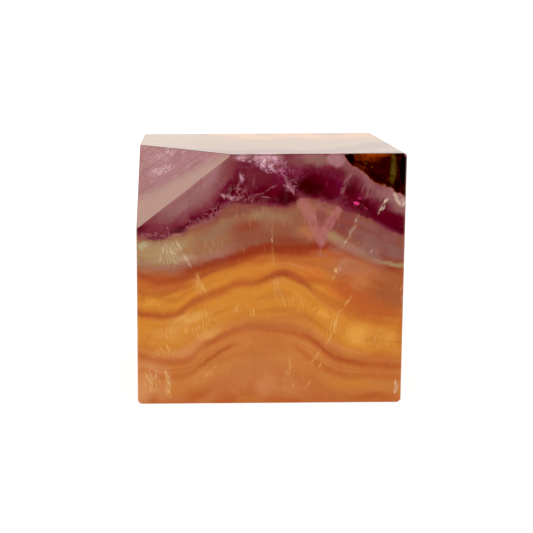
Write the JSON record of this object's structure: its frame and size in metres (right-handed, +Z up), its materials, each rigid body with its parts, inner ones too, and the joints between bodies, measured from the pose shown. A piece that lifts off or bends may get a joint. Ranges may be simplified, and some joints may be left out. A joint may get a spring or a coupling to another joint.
{
  "type": "fluorite cube",
  "caption": "Polished display cube of banded fluorite, a single block with one corner ground off to a triangular facet.",
  "frame": {"origin": "middle of the flat face that the block rests on", "axes": "+Z up from the resting face, -Y towards the front, +X to the right; the ground corner is at the upper front left"},
  "size_m": [0.05, 0.05, 0.0476],
  "materials": {
    "fluorite": "polished, translucent, banded amber, rust, sage and purple"
  },
  "bodies": {
    "root": {"fluorite_cube": "fluorite"}
  },
  "joints": []
}
